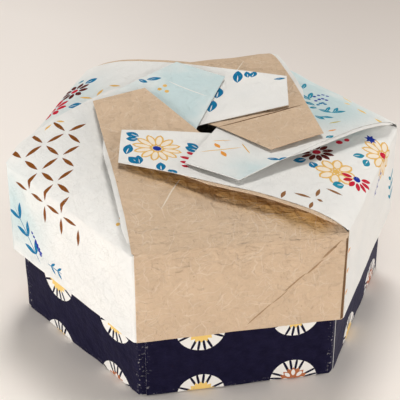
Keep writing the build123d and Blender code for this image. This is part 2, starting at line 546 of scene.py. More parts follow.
def shift_points(sheet, shift):
    places = flat_places(sheet) + shift
    sheet.data.vertices.foreach_set("co", places.ravel())
    sheet.data.update()


def turn_about(axis, angle, centre):
    bpy.ops.transform.rotate(value=-angle, orient_axis=axis, orient_type="GLOBAL", center_override=centre)


def fold(sheet, flat, column, line, beyond, axis, angle):
    """Turns all that lies beyond a line of the flat sheet about that line."""
    chosen = (flat[:, column] - line) * beyond > PAST_THE_LINE
    centre = [0, 0, 0]
    centre[column] = line
    move_points(sheet, chosen, lambda: turn_about(axis, angle, centre))


def bend(sheet, flat, column, lines, beyond, axis, angle):
    """A bend of several small folds along lines given in millimetres, made from the far end."""
    for line in sorted([line * MM for line in lines], reverse=beyond > 0):
        fold(sheet, flat, column, line, beyond, axis, angle / len(lines))


print("folding tools are ready")

# %% [markdown]
# ## Standing a sheet up
# Each sheet is folded lying down, as on a table. It is then turned upright, carried to the front wall,
# and turned round the box's axis to its own place. That way all six are folded by the same code.

# %% Stand up and turn to a place
def all_points(sheet):
    return np.ones(len(sheet.data.vertices), bool)


def stand_up(sheet, place):
    """Turns a folded sheet upright and carries it to its wall."""
    move_points(sheet, all_points(sheet), lambda: turn_about("X", math.pi / 2, (0, 0, 0)))
    move_points(sheet, all_points(sheet), lambda: bpy.ops.transform.translate(value=place))


def turn_to(sheet, place):
    """Carries a finished front sheet round the box to its own place."""
    angle = TURN * PLACES.index(place)
    move_points(sheet, all_points(sheet), lambda: turn_about("Z", angle, (0, 0, 0)))


print("places", PLACES)

# %% [markdown]
# ## The lid's sheet, flat
# Each lid sheet is a wall with a narrow hem turned in at the rim, a tab that goes round the right corner
# into the next wall, and a blade that leans in over the top. The outline is drawn once, from the wall's
# left foot round to the blade and back. The tab's corner lies a little inside the wall's, so that it
# fits behind it.

# %% Flat outline of a lid sheet
WALL = LID_WALL / MM
HALF = LID_SIDE / MM / 2
BACK = 2.0
HEM = 18.75
CORNER = 37.12
EDGE = 0.7
EYE_RADIUS = 3.5
HEEL = (18.7, 91.0)
TIP_LEAN = 2.3
TIP_REACH = 84.0
TAB_SLOPE = 0.3
TAB_LOW = 1.6
TAB_HIGH = 0.9
TAB_IN = 1.5
NICK = 0.4


def valley_point(distance):
    """A point of the valley fold in the front sheet's plan, from the right corner towards the centre."""
    lean = EYE_RADIUS * distance / (2 * HALF)
    heading = Vector((0, 1)).to_3d()
    inward = Matrix.Rotation(TURN / 2, 3, "Z") @ heading
    aside = Matrix.Rotation(TURN / 2 + math.pi / 2, 3, "Z") @ heading
    spot = Vector((HALF, 0, 0)) + inward * distance + aside * lean
    return spot.x, spot.y


def blade_outline():
    """The blade's corners in flat millimetres, from its root's right end round to the left one."""
    plan = [valley_point(2 * HALF), (HEEL[0] - HALF, HEEL[1]), (-HALF - TIP_LEAN, TIP_REACH)]
    return [(along, blade_length(inward)) for along, inward in plan]


def lid_outline():
    tab = LID_SIDE / MM - BACK
    hem = [
        (EDGE - HALF, 0), (BACK - HALF, -NICK), (BACK - HALF, -HEM), (HALF - BACK, -HEM), (HALF - BACK, 0),
    ]
    tab_round = [
        (CORNER, 0), (CORNER + HALF, TAB_SLOPE), (CORNER + tab, WALL - TAB_LOW),
        (CORNER + TAB_IN, WALL - TAB_HIGH), (HALF, WALL),
    ]
    return [*hem, *tab_round, *blade_outline(), (-HALF, WALL + NICK), (EDGE - HALF, WALL)]


print("lid outline", len(lid_outline()), "corners")

# %% [markdown]
# ## Folding the lid's sheet
# The hem goes under first, then the tab turns the corner, and the blade is bent over at many lines,
# sharply near the wall and hardly at all towards its end. Last the blade's twist lowers its right side,
# and the wall and the tab give way with it.

# %% Fold a lid sheet
HEM_STEP = 0.26
TOP_BEND = 0.35
CORNER_BEND = 0.5
TAB_BELOW = 0.3
PAST_THE_EDGE = 9


def three_lines(middle, apart):
    return [middle - apart, middle, middle + apart]


def crossing(reach, level, upright=(), height=0):
    """Creases at level lines across a sheet and at upright lines up its wall."""
    creases = [((-reach, line), (reach, line)) for line in level]
    return creases + [((line, 0), (line, height)) for line in upright]


HEM_LINES = [-HEM_STEP * number for number in range(4)]
TOP_LINES = three_lines(WALL, TOP_BEND)
CORNER_LINES = three_lines(CORNER, CORNER_BEND)
BLADE_LINES = list(WALL + LENGTHS[1:-1] / MM)
LEVEL_LINES = TOP_LINES + HEM_LINES + BLADE_LINES
LID_CREASES = crossing(HALF + PAST_THE_EDGE, LEVEL_LINES, CORNER_LINES, WALL)


def dome(sheet, flat):
    """Bends a blade over, sharply near the wall and hardly at all towards its end."""
    for line, slope, before in reversed(list(zip(BLADE_LINES, SLOPES[1:], SLOPES))):
        fold(sheet, flat, 1, line * MM, 1, "X", slope - before)


def fold_lid_sheet(sheet):
    """Folds a flat lid sheet into the front place."""
    flat = flat_places(sheet)
    along = flat[:, 0].copy()
    upward = flat[:, 1].copy()
    bend(sheet, flat, 1, HEM_LINES, -1, "X", math.pi)
    wall_only = flat.copy()
    wall_only[:, 0] = np.where(upward < LID_WALL + PAST_THE_LINE, along, 0)
    bend(sheet, wall_only, 0, CORNER_LINES, 1, "Y", TURN)
    dome(sheet, flat)
    bend(sheet, flat, 1, TOP_LINES, 1, "X", SLOPES[0] - math.pi / 2)
    stand_up(sheet, (0, -LID_REACH, LID_RIM))
    inward = np.where(upward > LID_WALL, flat_places(sheet)[:, 1] + LID_REACH, 0)
    in_tab = (along > CORNER * MM) & (upward < LID_WALL - TAB_BELOW * MM)
    on_tab = along - CORNER * MM - LID_SIDE / 2
    beside_wall = np.where(in_tab, on_tab, np.minimum(along, LID_SIDE / 2))
    lower = np.clip(upward / LID_WALL, 0, 1) * blade_twist(beside_wall, inward)
    shift_points(sheet, np.outer(lower, (0, 0, -1)))


print(len(BLADE_LINES), "bends across a blade")

# %% [markdown]
# ## Old creases of the lid
# The sheets were folded in other ways before they were woven, and those creases still show: one at 45
# degrees over each wall, a few short ones beside it on the stiff tan paper, and one across a blade. They
# could be a bump in the material, but as ridges of the mesh they also show on the exported shape.

# %% Old creases
TAN_PLACES = ("front", "back")
TAN_CREASE_PIXELS = ((161, 210), (181, 179))
AQUA_CREASE_PIXELS = ((167, 81), (208, 97))
WALL_RIDGE = 0.16
TAN_RIDGE = 0.28
TAN_BLADE_RIDGE = 0.14
AQUA_RIDGE = 0.10
RIDGE_END = 1.5
RIDGE_RUN = 33
RIDGE_DRIFT = np.array((0.6, -0.4))
SHORT_RIDGES = ((-1.3, 0.05, 0.55), (1.2, 0.3, 0.8), (-2.6, 0.0, 0.3), (2.5, 0.1, 0.35))


def tan_ridges():
    """Short ridges beside the wall's crease, by shift, start and end, and two over the blade's root."""
    ridges = []
    for shift, first, last in SHORT_RIDGES:
        corner = np.array((HALF - RIDGE_END + shift, WALL - RIDGE_END - abs(shift)))
        end = corner - last * RIDGE_RUN + RIDGE_DRIFT
        ridges.append((corner - first * RIDGE_RUN, end, TAN_RIDGE))
    middle, end = [on_blade("front", pixel) for pixel in TAN_CREASE_PIXELS]
    root = np.array((-HALF + 1, WALL + RIDGE_END))
    return ridges + [(root, middle, TAN_BLADE_RIDGE), (middle, end, TAN_BLADE_RIDGE)]


def lid_ridges(place):
    corner = np.array((HALF - RIDGE_END, WALL - RIDGE_END))
    ridges = [(corner, np.array((HALF - WALL + 0.5, 0.5)), WALL_RIDGE)]
    if place in TAN_PLACES:
        ridges += tan_ridges()
    if place == "front_left":
        ridges.append((*(on_blade(place, pixel) for pixel in AQUA_CREASE_PIXELS), AQUA_RIDGE))
    return ridges


print("old creases", {place: len(lid_ridges(place)) for place in PLACES})

# %% [markdown]
# ## Print that shows at the left
# From here on the print is set sheet by sheet. Its places are read off the picture as pixels and brought
# to the flat sheet by lines of sight. The lattice is regular, so it needs only a start and its rows. The
# front left sheet has the lattice, a few gold strokes, and sprigs low on its wall.

# %% Front left sheet
def strokes(find, ink, width, ends, fullness=1.0):
    """Brush strokes between pairs of pixels, found on the sheet."""
    return [(ink, spindle(find(start), find(end), width, fullness)) for start, end in ends]


def leaves(find, rows, ink="blue"):
    """Leaves, each by the pixels of its base and tip and by its width."""
    return [shape for base, tip, width in rows for shape in leaf(find(base), find(tip), width, ink)]


LATTICE_START = (-30.2, 62.0)
LATTICE_LEVEL = {0: (-1, 0), -1: (-1, 1), -2: (-1, 2), -3: (0, 3)}
LATTICE_UPRIGHT = {0: (0, 0), -1: (0, 1), -2: (0, 2), -3: (1, 3), -4: (2, 4)}
FRONT_LEFT_GOLD = [
    ((39.8, 121.4), (51.5, 121.0)), ((55.7, 121.5), (64.3, 122.2)), ((44, 130.5), (51.7, 122.8)),
    ((28, 134), (37, 133.6)),
]
FRONT_LEFT_LEAVES = [((139, 80), (148, 83), 2.0), ((147, 80), (162, 78.5), 2.2)]
BLADE_BERRIES = [(160, 89.6), (165.3, 86.3), (167, 91.7)]
EDGE_BERRIES = [(121.2, 218.3), (118.2, 224.7)]
TALL_SPRIG = [(41, 265), (14, 205)]
LOW_SPRIG = [(47, 263), (62, 275)]
SMALL_BERRIES = [(32.5 + 1.7 * number, 233 + 4 * number) for number in range(6)]
LARGE_BERRIES = [(36 + 1.5 * number, 243 + 4 * number) for number in range(4)]


def front_left_print():
    top = partial(on_blade, "front_left")
    side = partial(on_wall, "front_left")
    shapes = lattice(LATTICE_START, LATTICE_LEVEL, LATTICE_UPRIGHT, "brown")
    shapes += strokes(top, "gold", 1.0, FRONT_LEFT_GOLD)
    shapes += strokes(top, "white", 0.4, [AQUA_CREASE_PIXELS], 0.3)
    shapes += leaves(top, FRONT_LEFT_LEAVES)
    shapes += dots(map(top, BLADE_BERRIES), 0.9, "gold")
    shapes += dots(map(top, EDGE_BERRIES), 0.8, "gold")
    shapes += sprig(*map(side, TALL_SPRIG), 3, 0.3, "blue")
    shapes += dots(map(side, SMALL_BERRIES), 0.65, "royal")
    shapes += dots(map(side, LARGE_BERRIES), 0.8, "royal")
    return shapes + sprig(*map(side, LOW_SPRIG), 2, 0.4, "blue")


print("front left sheet", len(front_left_print()), "shapes")

# %% [markdown]
# ## Print on the back left sheet and on walls that don't show
# Two flowers, leaves and gold strokes show at the left edge of the top, and blue leaves on the blade's
# end. The wall below is turned away. It gets the same ornament as the walls that show, set freely in
# millimetres.

# %% Back left sheet and hidden walls
DIAMOND_ACROSS = np.array((6.9, 6.9))
DIAMOND_UP = np.array((-6.9, 6.9))
DIAMOND_START = (-18.0, 3.5)
DIAMOND_LEVEL = {0: (0, 1), 1: (0, 1), 2: (0, 1)}
DIAMOND_UPRIGHT = {0: (0, 2), 1: (0, 2)}
WALL_RED = (7.0, 26.0)
WALL_DAISY = (19.5, 17.0)
WALL_UMBER = (8.5, 8.5)
CORNER_SPRIG = [(33, 5), (31.5, 21)]
WALL_LEAVES = [
    ((13, 29), (18, 32), "blue"), ((26, 25), (31, 28), "teal"), ((14, 9), (19, 6), "blue"),
    ((2, 17), (-3, 20), "teal"), ((25, 9), (30, 6), "blue"),
]
BACK_LEFT_LEAVES = [
    ((68.5, 107), (82.5, 104.5), 4.2), ((64, 114), (73.5, 114.5), 3.6), ((84.5, 84), (97, 78.2), 4.0),
]
BACK_LEFT_BUD = [((78.2, 84), (83.8, 80.2), 2.4)]
BACK_LEFT_GOLD = [
    ((79.7, 97.5), (92.4, 98.9)), ((96.7, 96.2), (103.1, 89.5)), ((109, 85.9), (120.5, 86.8)),
    ((87.7, 107.3), (92.4, 103.5)),
]
BLADE_END_LEAVES = [
    ((237.5, 82.5), (238, 70.5), 3.9), ((248, 77.5), (246, 71.5), 2.4), ((251, 77.5), (255, 71.5), 2.8),
    ((216, 99), (219.5, 88), 4.4), ((209.5, 112), (213, 101), 4.4), ((273, 80), (285, 78.2), 1.6),
]
UMBER_FLOWER = (74.3, 92.0)
RED_FLOWER = (51.5, 111)


def corner_sprig():
    """The sprig low at the right end of a wall."""
    return sprig(*CORNER_SPRIG, 3, 0.3, "teal")


def wall_print():
    """The print on a wall that the picture doesn't show."""
    shapes = lattice(DIAMOND_START, DIAMOND_LEVEL, DIAMOND_UPRIGHT, "brown", DIAMOND_ACROSS, DIAMOND_UP)
    shapes += flower(WALL_RED, 5.8, "red", "royal", full_turn(9, 0.3), 1.7)
    shapes += daisy(WALL_DAISY, 7.4, 9, "gold", "red")
    shapes += flower(WALL_UMBER, 5.4, "umber", "red", full_turn(10, 0.1), 1.4)
    for base, tip, ink in WALL_LEAVES:
        shapes += leaf(base, tip, 3.0, ink)
    return shapes + corner_sprig()


def back_left_print():
    top = partial(on_blade, "back_left")
    shapes = flower(top(UMBER_FLOWER), 6.4, "umber", "red", full_turn(9, 0.2), 2.3)
    shapes += flower(top(RED_FLOWER), 7.8, "red", "red", full_turn(9, 0.1), 2.8)
    shapes += leaves(top, BACK_LEFT_LEAVES) + leaves(top, BACK_LEFT_BUD, "teal")
    shapes += strokes(top, "gold", 1.3, BACK_LEFT_GOLD)
    return shapes + leaves(top, BLADE_END_LEAVES) + wall_print()


print("back left sheet", len(back_left_print()), "shapes")

# %% [markdown]
# ## Print on the front right sheet
# This blade shows most of the flowers: a large daisy among blue leaves at its end, and at its root a
# cluster of a dark flower, two daisies and a red flower that its neighbour half hides. The outlines are
# laid in the order in which they overlap.

# %% Front right sheet
END_DAISY = (157, 148.1)
END_LEAVES = [
    ((139.5, 137), (126.5, 133), 3.8), ((139, 139.5), (126.5, 139.3), 3.4),
    ((125.5, 154), (130.5, 144.5), 3.6), ((140.5, 163.5), (128, 156.5), 4.2),
    ((139.5, 163.5), (137.5, 155), 3.0), ((161.5, 171.5), (160, 162), 3.4),
    ((176.5, 175), (169, 170), 3.4), ((200, 151.5), (185, 146.5), 4.6), ((198.5, 148.5), (187, 143), 3.4),
]
RED_PETALS = [
    ((194, 155), (186.5, 151.5)), ((191, 159), (179.5, 156)), ((190.5, 163), (179.5, 160.8)),
    ((189, 167), (181.5, 165)),
]
DARK_FLOWER = (316.3, 152.7)
DARK_FLOWER_LEAVES = [((306, 160), (293, 160.5), 4.2), ((310, 162.5), (317, 168.5), 3.4)]
SMALL_DAISY = (336.2, 171.8)
HALF_FLOWER = (356.9, 180.0)
HALF_FLOWER_TURN = [1.7, 2.3, 2.9, 3.5, 4.1, 4.7, 5.3]
HALF_FLOWER_LEAF = [((344, 185), (333, 184.5), 4.0)]
CORNER_DAISY = (383, 156.5)
CORNER_LEAVES = [((353, 156.5), (365, 156.5), 3.0), ((368.5, 161), (364, 166.5), 3.2)]
BLUE_STAR = (370.6, 139.3)
RED_BERRIES = [((339.7, 142.1), 1.4), ((347.3, 140), 1.1)]
VIOLET_SPRIG = [(374, 199), (381.5, 170)]
BRONZE_LENSES = [
    ((281.5, 198), (286, 190.5)), ((293.8, 192.2), (311, 198)), ((315.4, 196.7), (319.9, 189)),
    ((316.7, 199.2), (323, 202.4)), ((309.7, 208.8), (312.9, 201.8)), ((326.3, 188.4), (342.9, 195.2)),
]
ORANGE_DASHES = (28.5, 20.0, 11.0)
DASH_ENDS = (-39, -33.8)


def front_right_print():
    top = partial(on_blade, "front_right")
    side = partial(on_wall, "front_right")
    shapes = daisy(top(END_DAISY), 9.0, 12, "gold", "royal") + leaves(top, END_LEAVES)
    shapes += strokes(top, "red", 1.9, RED_PETALS, 0.6)
    shapes += flower(top(DARK_FLOWER), 6.8, "umber", "red", full_turn(11, 0.2), 2.2)
    shapes += leaves(top, DARK_FLOWER_LEAVES)
    shapes += daisy(top(SMALL_DAISY), 7.8, 8, "gold", "gold")
    shapes += flower(top(HALF_FLOWER), 6.2, "red", "royal", HALF_FLOWER_TURN, 1.9)
    shapes += leaves(top, HALF_FLOWER_LEAF, "teal")
    shapes += daisy(top(CORNER_DAISY), 9.2, 11, "gold", "red") + leaves(top, CORNER_LEAVES, "teal")
    shapes.append(("royal", star(top(BLUE_STAR), 2.7, 1.5, 7)))
    for berry, radius in RED_BERRIES:
        shapes += dots([top(berry)], radius, "red")
    shapes += sprig(*map(side, VIOLET_SPRIG), 4, 0.2, "violet")
    shapes += strokes(top, "bronze", 1.4, BRONZE_LENSES)
    for up in ORANGE_DASHES:
        shapes.append(("orange", spindle(*((along, up) for along in DASH_ENDS), 1.4)))
    return shapes + corner_sprig()


print("front right sheet", len(front_right_print()), "shapes")

# %% [markdown]
# ## Print on the back right sheet
# Its blade shows a few thin gold lines with orange strokes near the eye. Its root, at the right edge of
# the top, has a teal spray with rows of small berries and yellow strokes along the fold.

# %% Back right sheet
GOLD_LINES = [((199.5, 151.9), (242.9, 147)), ((212.5, 141), (231, 140.5)), ((242.3, 143.2), (250.5, 153))]
ORANGE_LENSES = [((214.7, 143.2), (219.6, 148.1)), ((220.6, 150.8), (226, 156.8))]
EDGE_LEAVES = [((267.6, 158.2), (280.4, 159.7), 2.2), ((280, 161), (287, 157), 2.6)]
SPRAY_LEAVES = [
    ((303, 88), (291, 82), 1.6), ((303, 89), (306, 83.5), 1.8), ((311, 100), (298, 93), 1.8),
    ((309, 99), (313, 92.5), 2.0), ((315, 105.5), (303, 101), 1.8), ((317, 108), (309, 107), 1.8),
    ((318, 109), (332, 112), 1.8), ((326, 111), (330, 107), 1.6), ((331, 112), (346, 111), 1.8),
    ((334, 112), (338, 107.5), 1.6), ((315, 115), (325, 119), 1.8), ((320, 116), (334, 117), 1.8),
]
BERRY_MIDDLE = 322
BERRY_ROWS = [(102.5, 4.0, "blue"), (98.5, 6.0, "royal"), (94.5, 7.0, "royal")]
BERRY_STEPS = (-1, -0.4, 0.2, 0.8)
OLIVE_STROKE = [((329, 123.3), (341.6, 120.8))]
ORANGE_STROKE = [((327.6, 131), (336.5, 129))]
LAST_LEAF = [((326, 138), (333, 135), 2.4)]
YELLOW_STROKES = [
    ((342, 97), (352, 102.5)), ((344, 102.5), (351, 104.5)), ((357, 108.5), (366, 114.5)),
    ((374, 118.5), (385, 124)),
]


def back_right_print():
    top = partial(on_blade, "back_right")
    shapes = wall_print() + strokes(top, "gold", 0.55, GOLD_LINES, 0.4)
    shapes += strokes(top, "orange", 1.9, ORANGE_LENSES) + leaves(top, EDGE_LEAVES)
    shapes += leaves(top, SPRAY_LEAVES, "teal")
    for height, spread, ink in BERRY_ROWS:
        row = [(BERRY_MIDDLE + spread * step, height + 2.2 * abs(step)) for step in BERRY_STEPS]
        shapes += dots(map(top, row), 0.75, ink)
    shapes += strokes(top, "olive", 1.0, OLIVE_STROKE) + strokes(top, "orange", 1.0, ORANGE_STROKE)
    return shapes + leaves(top, LAST_LEAF, "teal") + strokes(top, "yellow", 1.6, YELLOW_STROKES)


print("back right sheet", len(back_right_print()), "shapes")

# %% [markdown]
# ## Lines on the tan sheets, and the washes
# The tan paper has no print. What is drawn on it is a painted shadow in the gap at the wall's right end, a
# darker broken line along the old crease, a lighter line along the blade's crease, and a painted shadow
# line beside the eye, under the edge of the next blade. The white sheets have washes of thin aqua, and the
# tan pocket under the front blade is painted a warmer, darker brown: painted shade.

# %% Tan sheets, washes and the choice of print
# Ends of a painted shadow line beside the eye, under the next blade's edge.
SHADOW_LINE_PIXELS = ((214, 128), (304, 104.3))
# Sizes of the painted shadow in the gap at the wall's right end.
GAP_SHADOW_LEFT = 0.75
GAP_SHADOW_TOP_LEFT = 0.45
GAP_SHADOW_RIGHT = 0.5
GAP_SHADOW_FOOT = 0.3
GAP_SHADOW_TOP = WALL - 2
CREASE_START = 1.2
CREASE_PIECES = ((1, 8, 0.0), (7.5, 14, 0.5), (13, 21, -0.1), (20, 26, 0.45), (25, 34, 0.1))
# Pixels along the pocket under the front blade, where the tan gets painted shade.
POCKET_SHADE_PIXELS = [
    (140, 168), (160, 175), (180, 181), (200, 187), (220, 192),
    (240, 198), (260, 204), (280, 210), (300, 216), (320, 222),
]
AQUA_SPOT = (258, 172)


def tan_print(place):
    # Painted shadow in the gap at the wall's right end, where the next wall's edge stands off the tan
    # corner.
    painted_gap_shadow = [
        (CORNER - GAP_SHADOW_LEFT, GAP_SHADOW_FOOT), (CORNER + GAP_SHADOW_RIGHT, GAP_SHADOW_FOOT), (CORNER + GAP_SHADOW_RIGHT, GAP_SHADOW_TOP),
        (CORNER - GAP_SHADOW_TOP_LEFT, GAP_SHADOW_TOP),
    ]
    shapes = [("painted_gap_shadow", np.array(painted_gap_shadow))]
    shapes += strokes(partial(on_blade, "front"), "pale", 0.5, [TAN_CREASE_PIXELS], 0.3)
    if place == "back":
        # Painted shadow under the edge of the blade beside the eye.
        shapes += strokes(partial(on_blade, place), "painted_gap_shadow", 0.8, [SHADOW_LINE_PIXELS], 0.4)
    for first, last, aside in CREASE_PIECES:
        start = np.array((HALF - CREASE_START - first + aside, WALL - CREASE_START - first))
        shapes.append(("crease", spindle(start, start + (first - last) + (0, 0.2), 0.55, 0.5)))
    return shapes


PRINTS = {
    "front": partial(tan_print, "front"), "front_right": front_right_print, "back_right": back_right_print,
    "back": partial(tan_print, "back"), "back_left": back_left_print, "front_left": front_left_print,
}
WASHES_AND_PAINTED_SHADE = {
    # Painted shade: soft spots along the front pocket darken the tan there.
    "front": [(on_blade("front", pixel), 4.4) for pixel in POCKET_SHADE_PIXELS],
    "front_right": [((20, 60), 12)],
    "back_right": [((10, 48), 26), ((-20, 60), 16), (on_blade("back_right", AQUA_SPOT), 11)],
    "back": [],
    "back_left": [((-10, 40), 14)],
    "front_left": [((-24, 122), 26), ((-8, 108), 22), ((-32, 20), 15)],
}
print("washes_and_painted_shade", {place: len(washes_and_painted_shade) for place, washes_and_painted_shade in WASHES_AND_PAINTED_SHADE.items()})

# %% [markdown]
# ## Tools for the papers
# Three papers are used, all rough, with little gloss. Their patterns follow the sheet's own flat UVs,
# scaled back to millimetres, so that a fibre runs on over a fold. A few short functions keep the node
# trees readable.

# %% Node tools
PAPER_GLOSS = 0.25


def put(tree, kind, inputs=(), **settings):
    """Adds a shader node, with its settings and what goes into its sockets."""
    made = tree.nodes.new("ShaderNode" + kind)
    for name, value in settings.items():
        setattr(made, name, value)
    for socket, value in dict(inputs).items():
        if isinstance(value, bpy.types.NodeSocket):
            tree.links.new(value, made.inputs[socket])
        else:
            made.inputs[socket].default_value = value
    return made


def new_paper(name, roughness, gloss=PAPER_GLOSS):
    """A paper's material with its shader, and the sheet's flat millimetres."""
    material = bpy.data.materials.new(name)
    material.use_nodes = True
    tree = material.node_tree
    shader = tree.nodes["Principled BSDF"]
    shader.inputs["Roughness"].default_value = roughness
    shader.inputs["Specular IOR Level"].default_value = gloss
    uv = put(tree, "UVMap", uv_map="sheet")
    flat = put(tree, "Mapping", {"Vector": uv.outputs[0], "Scale": [SHEET_SIDE] * 3})
    return material, tree, shader, flat.outputs[0]


def mixed(tree, share, below, above):
    """One colour over another by a share."""
    return put(tree, "Mix", {0: share, 6: below, 7: above}, data_type="RGBA").outputs[2]


def ramp(tree, value, low, high):
    """A value stretched so that low becomes 0 and high becomes 1."""
    return put(tree, "MapRange", {"Value": value, "From Min": low, "From Max": high}).outputs[0]


def product(tree, first, second):
    return put(tree, "Math", {0: first, 1: second}, operation="MULTIPLY").outputs[0]


def attribute(tree, name):
    return put(tree, "Attribute", attribute_name=name).outputs


def noise_field(tree, flat, scale, detail=2.0, **more):
    return put(tree, "TexNoise", {"Vector": flat, "Scale": scale, "Detail": detail, **more}).outputs


print("patterns lie on a sheet of", SHEET_SIDE, "mm")

# %% [markdown]
# ## Fibres and relief
# Handmade paper shows long curved fibres. Noise that is stretched one way and pushed about by slower
# noise gives them, in a few directions over each other. The relief comes from crumpled noise, from the
# broad facets of the stiff tan paper, and from fine wrinkles along its top fold.

# %% Fibres and relief
WRINKLES_UNDER = (WALL - 16, WALL - 3)
WRINKLES_OVER = (WALL + 22, WALL + 8)
WRINKLE_TURN = (0, 0, 0.22)
WRINKLE_SCALE = (0.22, 0.75, 1)
FIBRE_WANDER = (9, 9, 0)
FACET_SHIFT = (3.5, 3.5, 0)


def fibres(tree, flat, turn, seed, thin=2.6, long=0.16, low=0.60, high=0.70):
    """Long thin curved fibres that lie mostly one way."""
    wander = noise_field(tree, flat, 0.11)["Color"]
    bent = put(tree, "VectorMath", {0: wander, 1: FIBRE_WANDER}, operation="MULTIPLY")
    moved = put(tree, "VectorMath", {0: flat, 1: bent.outputs[0]}, operation="ADD")
    placing = {"Vector": moved.outputs[0], "Location": (seed, seed, 0), "Rotation": (0, 0, turn)}
    placing["Scale"] = (1 / long, 1 / thin, 1)
    laid = put(tree, "Mapping", placing, vector_type="TEXTURE")
    return ramp(tree, noise_field(tree, laid.outputs[0], 1.0, 1.0)[0], low, high)


def summed(tree, values):
    total = values[0]
    for value in values[1:]:
        total = put(tree, "Math", {0: total, 1: value}, operation="ADD", use_clamp=True).outputs[0]
    return total


def crumple(tree, flat, scale):
    """The unevenness of paper that was crumpled and smoothed out again."""
    return noise_field(tree, flat, scale, 5.0, Roughness=0.6)[0]


def facets(tree, flat, scale):
    """The broad soft facets of a stiff fibrous paper."""
    moved = noise_field(tree, flat, 0.25)["Color"]
    shift = {0: moved, 1: FACET_SHIFT, 2: flat}
    shifted = put(tree, "VectorMath", shift, operation="MULTIPLY_ADD").outputs[0]
    return put(tree, "TexVoronoi", {"Vector": shifted, "Scale": scale}).outputs["Distance"]


def fold_wrinkles(tree, flat):
    """The fine wrinkles along the top fold, on the wall under it and on the blade's root above it."""
    placing = {"Vector": flat, "Rotation": WRINKLE_TURN, "Scale": WRINKLE_SCALE}
    laid = put(tree, "Mapping", placing).outputs[0]
    wrinkle = noise_field(tree, laid, 0.9, 4.0, Distortion=1.2)[0]
    upward = put(tree, "SeparateXYZ", {0: flat}).outputs["Y"]
    under = ramp(tree, upward, *WRINKLES_UNDER)
    over = ramp(tree, upward, *WRINKLES_OVER)
    return product(tree, wrinkle, product(tree, under, over))


def relief(tree, shader, heights, distance):
    """Bumps from several heights, one over another."""
    normal = None
    for height, share in heights:
        inputs = {"Height": height, "Distance": distance * share, "Strength": 1.0}
        if normal:
            inputs["Normal"] = normal
        normal = put(tree, "Bump", inputs).outputs[0]
    tree.links.new(normal, shader.inputs["Normal"])


print("wrinkles from", WRINKLES_UNDER[0], "to", WRINKLES_OVER[0], "mm up the sheet")

# %% [markdown]
# ## White printed paper
# The white paper is slightly cloudy, with faint fibres. The aqua wash lies under the ink, and the ink is
# a little uneven, as a print on rough paper is. A lower gloss keeps the dark inks deep.

# %% White printed paper
WHITE = (0.855, 0.845, 0.815, 1)
WHITE_CLOUD = (0.80, 0.805, 0.79, 1)
WHITE_FIBRE = (0.90, 0.895, 0.88, 1)
AQUA = (0.58, 0.71, 0.725, 1)
WHITE_GLOSS = 0.10
WHITE_LAY = ((0.3, 3), (1.5, 40), (2.5, 80))


def white_paper():
    material, tree, shader, flat = new_paper("white_printed_paper", roughness=0.75, gloss=WHITE_GLOSS)
    hair = summed(tree, [fibres(tree, flat, turn, seed) for turn, seed in WHITE_LAY])
    cloud = noise_field(tree, flat, 0.05, 3.0)[0]
    cloudy = ramp(tree, cloud, 0.35, 0.7)
    white = mixed(tree, cloudy, WHITE, WHITE_CLOUD)
    white = mixed(tree, ramp(tree, hair, 0.0, 4.0), white, WHITE_FIBRE)
    blotch = product(tree, attribute(tree, "wash_and_painted_shade")["Fac"], ramp(tree, cloud, 0.2, 0.5))
    washed = mixed(tree, blotch, white, AQUA)
    ink = attribute(tree, "ink")
    uneven = product(tree, ink["Alpha"], ramp(tree, crumple(tree, flat, 0.8), 0.1, 0.4))
    tree.links.new(mixed(tree, uneven, washed, ink["Color"]), shader.inputs["Base Color"])
    relief(tree, shader, [(crumple(tree, flat, 0.16), 1.0), (hair, 0.12)], distance=0.6 * MM)
    return material


white_printed = white_paper()
print(white_printed.name, len(white_printed.node_tree.nodes), "nodes")

# %% [markdown]
# ## Fibrous paper
# The tan paper is full of pale fibres, with a few dark flecks. The same recipe with other colours makes
# the reverses of the printed papers, on which the print shows through only faintly.

# %% Fibrous paper
TAN = (0.680, 0.505, 0.350, 1)
TAN_PALE = (0.780, 0.645, 0.510, 1)
# Painted shade: the darker, warmer brown of the tan deep in the front pocket.
TAN_POCKET_PAINTED_SHADE = (0.72, 0.43, 0.155, 1)
DARK_FLECK = (0.20, 0.115, 0.06, 1)
CLOUD_SHADE = 0.90
TAN_LAY = ((0.2, 5), (0.9, 31), (1.7, 62), (2.6, 97))
TAN_FIBRE = (1.5, 0.075, 0.635, 0.74)
SHOW_THROUGH = 0.08
WHITE_BACK = (0.78, 0.77, 0.74, 1)
WHITE_BACK_PALE = (0.86, 0.85, 0.82, 1)
NAVY_BACK = (0.70, 0.69, 0.68, 1)
NAVY_BACK_PALE = (0.80, 0.79, 0.77, 1)


